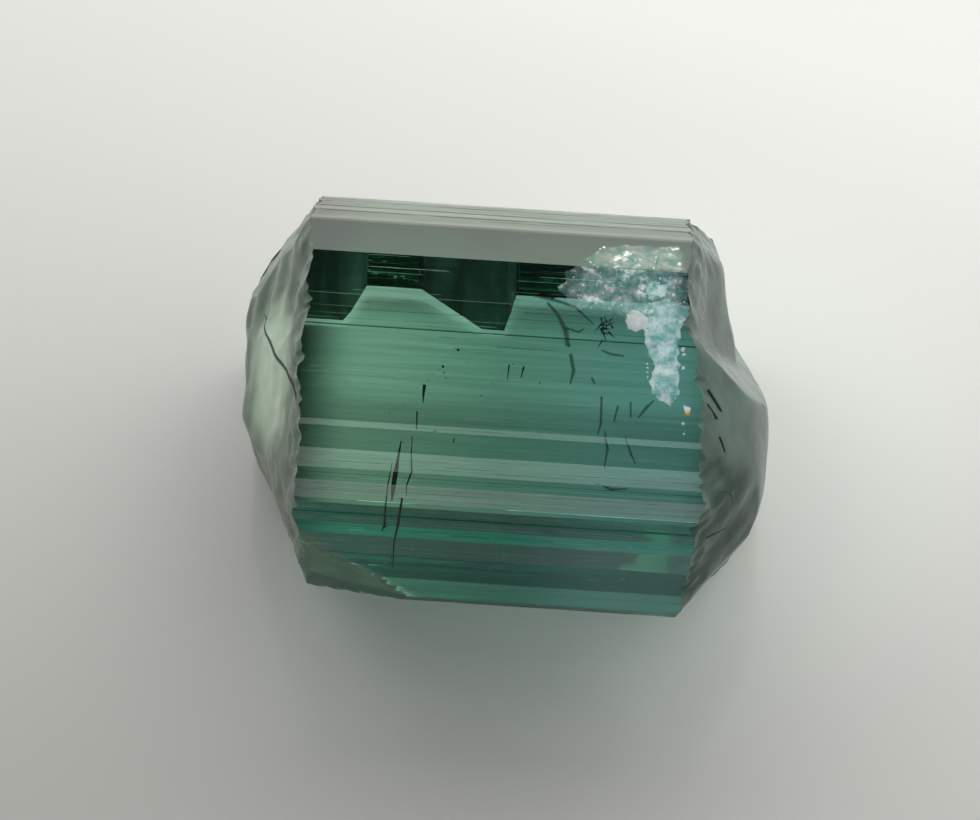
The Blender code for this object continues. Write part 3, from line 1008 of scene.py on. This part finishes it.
class TourmalineStage(bpy.types.PropertyGroup):
    """The camera, the lights and the room"""

    view_down: bpy.props.FloatProperty(
        name="View elevation", description="Camera elevation", subtype="ANGLE",
        default=math.radians(60))
    view_round: bpy.props.FloatProperty(
        name="View azimuth", description="Camera azimuth", subtype="ANGLE",
        default=math.radians(4.3))
    distance: bpy.props.FloatProperty(
        name="Camera distance", description="From the stone", unit="LENGTH", default=0.16)
    rear_power: bpy.props.FloatProperty(
        name="Rear panel", description="Power of the soft panel behind the stone, W", default=0.004)
    strip_power: bpy.props.FloatProperty(
        name="Front strip", description="Power of the thin strip light in front, W", default=0.5)
    walls: bpy.props.FloatProperty(
        name="Pale walls", description="Brightness of the walls round the table", default=0.79)
    window: bpy.props.FloatProperty(
        name="High window", description="Added brightness of the band high up behind", default=1.6)
    zenith: bpy.props.FloatProperty(
        name="Overhead", description="Brightness straight overhead", default=0.03)


# --- pieces -----------------------------------------------------------------------------------
class TOURMALINE_OT_crystal(bpy.types.Operator):
    """Builds the striated, fractured surface of the stone and puts it in place of the plain solid"""

    bl_idname = "tourmaline.crystal"
    bl_label = "Build crystal"

    def execute(self, context):
        made = build_crystal(context.scene.tourmaline_sizes)
        colours = context.scene.tourmaline_colours
        centres = [
            (np.array((end(*patch), *patch)) + SHIFT) * MM
            for end, patch in ((left_end, LEFT_HIGHLIGHT), (right_end, RIGHT_PATCH))
        ]
        # the pale patch on the left end is a painted highlight
        left = fracture(
            colours, "broken left end", colours.left_break, colours.left_highlight, centres[0],
            reach=1.7, clear=0.25, shine=0.1)
        right = fracture(
            colours, "broken right end", colours.right_break, colours.right_patch, centres[1],
            reach=2.0, clear=0.2, shine=0.05)
        for finish in (
            tourmaline(colours), etched(colours), left, right, toe_break(colours), front_faces(colours),
        ):
            made.data.materials.append(finish)
        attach(made, "root")
        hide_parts(NODE)
        return {"FINISHED"}


class TOURMALINE_OT_needles(bpy.types.Operator):
    """Builds the dark growth tubes and specks, and the fine dark feathers, under the faces"""

    bl_idname = "tourmaline.needles"
    bl_label = "Build needles and feathers"

    def execute(self, context):
        inside = context.scene.tourmaline_inside
        dark = plain_grain("dark growth tube", inside.tube, 0.5)
        tubes = [needle(path, inside.depth * (path[0][1] < SKIN_DEEP)) for path in NEEDLES]
        # the marks on the broken ends are dark lines along their ridges and chips, in the same dark
        # material as the tubes
        tubes += [needle(path, 0.0, partial(behind, left_end)) for path in LEFT_MARKS]
        tubes += [needle(path, 0.0, partial(behind, right_end)) for path in RIGHT_MARKS]
        specks = [
            grain(x, along, size, inside.depth, 200 + i) for i, (x, along, size) in enumerate(SPECKS)
        ]
        draw = np.random.default_rng(250)
        for number, share in enumerate(np.linspace(0, 1, SWARM)):
            x, along = (np.interp(share, (0, 0.45, 1), side) for side in np.transpose(ARCH))
            x, along = x + draw.normal(0, 0.09), along + draw.normal(0, 0.09)
            specks.append(grain(x, along, draw.uniform(0.008, 0.018), inside.depth, 260 + number))
        put_together("growth_tubes", tubes + specks, dark)
        blue = plain_grain("dark blue tourmaline needles", inside.spikes, 0.3)
        spikes = []
        turns = np.linspace(0, 2 * math.pi, SPIKE_COUNT) + draw.uniform(-0.2, 0.2, SPIKE_COUNT)
        for turn in turns:
            heart = np.array(SPIKES) + draw.normal(0, 0.10, 2) * (0.8, 1.6)
            far = heart + draw.uniform(0.10, 0.26) * np.array((math.cos(turn), 1.5 * math.sin(turn)))
            spikes.append(needle(((*heart, 0.026), (*far, 0.004)), inside.depth))
        put_together("spiky_cluster", spikes, blue)
        shadow = plain_grain("dark feather crack", inside.feather, 0.4, alpha=0.15)
        feathers = [
            needle(np.array(path) * (1, 1, width), 3.0 * inside.depth)
            for path in FEATHERS for width in FEATHER_SHARES
        ]
        put_together("feathers", feathers, shadow)
        return {"FINISHED"}


class TOURMALINE_OT_healed_crack(bpy.types.Operator):
    """Builds the whitish healed crack at the right: its speckled veil, its cloudy band, the cream clay
    grain in it and the flakes scattered over it"""

    bl_idname = "tourmaline.healed_crack"
    bl_label = "Build healed crack"

    def execute(self, context):
        inside = context.scene.tourmaline_inside
        deep = inside.depth
        veil = crack_film(inside, "speckled healed crack", 1.0, 0.13, 4.5)
        put_together("veil", sheets(VEIL, 1.6 * deep, 0.01, 0.07, 300, (1.06, 0.92, 0.76)), veil)
        bloom = crack_film(inside, "bloom on the shoulder", 1.08, 0.10, 4.5)
        put_together("bloom", [
            lens(SHOULDER_VEIL, -0.012, 0.004, 0.03, 305, sides=72),
            lens(SHOULDER_CORE, -0.022, 0.004, 0.03, 306, sides=72),
        ], bloom)
        cloud = crack_film(inside, "cloudy healed crack", 0.84, 0.45, 2.8)
        put_together("cloud", [
            lens(CLOUD, 1.6 * deep, 0.04, 0.05, 310, sides=72),
            lens(CLOUD_CORE, 2.6 * deep, 0.03, 0.05, 320, sides=72),
        ], cloud)
        # the clay glows with the same painted light as the films
        clay = plain_grain("cream clay", inside.clay, 0.7, painted_glow=inside.film_painted_glow)
        draw = np.random.default_rng(330)
        inner = np.array(VEIL + CLOUD)
        middle = inner.mean(axis=0)
        grains = []
        for number in range(inside.flakes):
            anchor = inner[draw.integers(len(inner))]
            spot = middle + (anchor - middle) * math.sqrt(draw.uniform(0.05, 0.95))
            sunk = 1.2 * deep if spot[1] > 0 else 0.0
            grains.append(grain(*spot, draw.uniform(0.010, 0.034), sunk, 400 + number))
        # the glints are painted highlights, drawn as clay flakes
        for number, (x, along, size) in enumerate(GLINTS):
            grains.append(grain(x, along, size, 0.8 * deep if along > 0 else 0.0, 500 + number))
        put_together("clay", [lens(BLOB, 1.2 * deep, 0.07, 0.02, 340, rows=13)] + grains, clay)
        put_together("rainbow_film", [lens(RAINBOW, deep, 0.02, 0.01, 350, rows=5, sides=24)], rainbow())
        return {"FINISHED"}


def room_light(scene, stage):
    """The room as a plain gradient: pale walls, brighter to the rear and right, a brighter band high
    up behind, and one dark patch overhead and to the front, where someone bends over the table. Band
    and patch are soft-edged in the slope y/z of the direction, and the patch also in x."""
    world = bpy.data.worlds.new("room")
    scene.world = world
    world.use_nodes = True
    tree = world.node_tree
    tree.nodes.clear()
    place = node(tree, "ShaderNodeTexCoord")
    split = node(tree, "ShaderNodeSeparateXYZ", {0: place.outputs["Generated"]})
    height = node(tree, "ShaderNodeMath", {0: split.outputs["Z"], 1: 0.02}, operation="MAXIMUM")
    along = node(tree, "ShaderNodeMath", {0: split.outputs["Y"], 1: height.outputs[0]}, operation="DIVIDE")
    widen = node(tree, "ShaderNodeMapRange", {
        "Value": along.outputs[0], "From Min": -0.6, "From Max": -1.4, "To Max": 0.4,
    }, interpolation_type="SMOOTHSTEP")
    spread = node(tree, "ShaderNodeMath", {0: split.outputs["X"]}, operation="ABSOLUTE")
    spread = node(tree, "ShaderNodeMath", {0: spread.outputs[0], 1: widen.outputs[0]}, operation="SUBTRACT")
    inside = []
    for source, lit, dark in ((along, 0.64, 0.42), (spread, 0.42, 0.26)):
        inside.append(node(tree, "ShaderNodeMapRange", {
            "Value": source.outputs[0], "From Min": lit, "From Max": dark,
        }, interpolation_type="SMOOTHSTEP").outputs[0])
    patch = node(tree, "ShaderNodeMath", {0: inside[0], 1: inside[1]}, operation="MULTIPLY")
    rear = node(tree, "ShaderNodeMath", {0: split.outputs["Y"], 1: 0.35, 2: 1.0}, operation="MULTIPLY_ADD")
    side = node(tree, "ShaderNodeMath", {0: split.outputs["X"], 1: 0.15, 2: rear.outputs[0]},
                operation="MULTIPLY_ADD")
    level = node(tree, "ShaderNodeMath", {0: side.outputs[0], 1: stage.walls}, operation="MULTIPLY")
    over = []
    for below, above in ((0.45, 0.95), (2.6, 1.2)):
        over.append(node(tree, "ShaderNodeMapRange", {
            "Value": along.outputs[0], "From Min": below, "From Max": above,
        }, interpolation_type="SMOOTHSTEP").outputs[0])
    band = node(tree, "ShaderNodeMath", {0: over[0], 1: over[1]}, operation="MULTIPLY")
    level = node(tree, "ShaderNodeMath", {0: band.outputs[0], 1: stage.window, 2: level.outputs[0]},
                 operation="MULTIPLY_ADD")
    shade = node(tree, "ShaderNodeMapRange", {
        "Value": patch.outputs[0], "To Min": level.outputs[0], "To Max": stage.zenith,
    })
    sky = node(tree, "ShaderNodeBackground", {
        "Color": (*linear("FFFFFC"), 1.0), "Strength": shade.outputs[0],
    })
    node(tree, "ShaderNodeOutputWorld", {"Surface": sky.outputs[0]})


def soft_panel(scene, name, place, aim, width, height, power):
    """A rectangular soft light that faces a point."""
    light = bpy.data.lights.new(name, "AREA")
    light.shape = "RECTANGLE"
    light.size, light.size_y, light.energy = width, height, power
    made = bpy.data.objects.new(name, light)
    scene.collection.objects.link(made)
    made.location = place
    made.rotation_euler = (Vector(aim) - Vector(place)).to_track_quat("-Z", "Y").to_euler()


def pale_plate(scene, colours):
    """A wide thin plate whose top lies a hair under the stone, so the two never share a plane."""
    corners = np.array([(-1.0, -1.0), (1.0, -1.0), (1.0, 1.0), (-1.0, 1.0)])
    both = np.concatenate([np.column_stack((corners, np.full(4, z))) for z in (-0.03 * MM, -20 * MM)])
    sides = [(i, i + 4, (i + 1) % 4 + 4, (i + 1) % 4) for i in range(4)]
    mesh = bpy.data.meshes.new("plate")
    mesh.from_pydata(both, [], [(0, 1, 2, 3), (7, 6, 5, 4), *sides])
    plate = bpy.data.objects.new("plate", mesh)
    scene.collection.objects.link(plate)
    plate.data.materials.append(opal_plate(colours))


def camera_at(scene, stage):
    """The camera looks at the stone's middle from view_down above the level and view_round to the
    right of its front. Its lens follows from its distance and from how much it takes in."""
    camera = bpy.data.cameras.new("camera")
    holder = bpy.data.objects.new("camera", camera)
    scene.collection.objects.link(holder)
    scene.camera = holder
    down, turn = stage.view_down, stage.view_round
    back = Vector((math.sin(turn) * math.cos(down), -math.cos(turn) * math.cos(down), math.sin(down)))
    right = Vector((math.cos(turn), math.sin(turn), 0.0))
    up = back.cross(right)
    aim = Vector((0, 0, AIM_HEIGHT)) + right * FRAMING[0] + up * FRAMING[1] + Vector(SHIFT)
    holder.rotation_mode = "QUATERNION"
    holder.rotation_quaternion = (-back).to_track_quat("-Z", "Y")
    holder.location = aim * MM + back * stage.distance
    camera.sensor_width = 36.0
    camera.lens = 0.5 * camera.sensor_width * stage.distance / (HALF_VIEW * MM)
    camera.clip_start = 0.001
    camera.clip_end = 10.0


class TOURMALINE_OT_stage(bpy.types.Operator):
    """Sets the pale plate, the soft room light, the rear panel, the front strip and the camera"""

    bl_idname = "tourmaline.stage"
    bl_label = "Set stage"

    def execute(self, context):
        scene = context.scene
        stage = scene.tourmaline_stage
        pale_plate(scene, scene.tourmaline_colours)
        room_light(scene, stage)
        soft_panel(scene, "rear panel", (0.018, 0.057, 0.044), (0, 0, 0), 0.06, 0.03, stage.rear_power)
        soft_panel(scene, "front strip", (0, -0.87, 0.505), (0, 0, 0.005), 2.0, 0.07, stage.strip_power)
        camera_at(scene, stage)
        scene.view_settings.view_transform = "Standard"
        scene.cycles.max_bounces = 32
        scene.cycles.transmission_bounces = 32
        scene.cycles.glossy_bounces = 8
        return {"FINISHED"}


class TOURMALINE_PT_panel(bpy.types.Panel):
    """Lists every setting, and a button for each operator"""

    bl_label = "Tourmaline crystal"
    bl_idname = "TOURMALINE_PT_panel"
    bl_space_type = "VIEW_3D"
    bl_region_type = "UI"
    bl_category = "Tourmaline"

    def draw(self, context):
        layout = self.layout
        scene = context.scene
        for group in (scene.tourmaline_sizes, scene.tourmaline_colours, scene.tourmaline_inside,
                      scene.tourmaline_stage):
            box = layout.box()
            for name in group.bl_rna.properties.keys():
                if name not in ("rna_type", "name"):
                    box.prop(group, name)
        for made in OPERATORS:
            layout.operator(made.bl_idname)


GROUPS = (TourmalineSizes, TourmalineColours, TourmalineInside, TourmalineStage)
OPERATORS = (TOURMALINE_OT_crystal, TOURMALINE_OT_needles, TOURMALINE_OT_healed_crack, TOURMALINE_OT_stage)


def register():
    for made in (*GROUPS, *OPERATORS, TOURMALINE_PT_panel):
        bpy.utils.register_class(made)
    bpy.types.Scene.tourmaline_sizes = bpy.props.PointerProperty(type=TourmalineSizes)
    bpy.types.Scene.tourmaline_colours = bpy.props.PointerProperty(type=TourmalineColours)
    bpy.types.Scene.tourmaline_inside = bpy.props.PointerProperty(type=TourmalineInside)
    bpy.types.Scene.tourmaline_stage = bpy.props.PointerProperty(type=TourmalineStage)


def unregister():
    del bpy.types.Scene.tourmaline_stage
    del bpy.types.Scene.tourmaline_inside
    del bpy.types.Scene.tourmaline_colours
    del bpy.types.Scene.tourmaline_sizes
    for made in reversed((*GROUPS, *OPERATORS, TOURMALINE_PT_panel)):
        bpy.utils.unregister_class(made)


def main():
    """Registers the add-on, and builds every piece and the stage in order."""
    register()
    bpy.ops.tourmaline.crystal()
    bpy.ops.tourmaline.needles()
    bpy.ops.tourmaline.healed_crack()
    bpy.ops.tourmaline.stage()


if __name__ == "__main__":
    main()
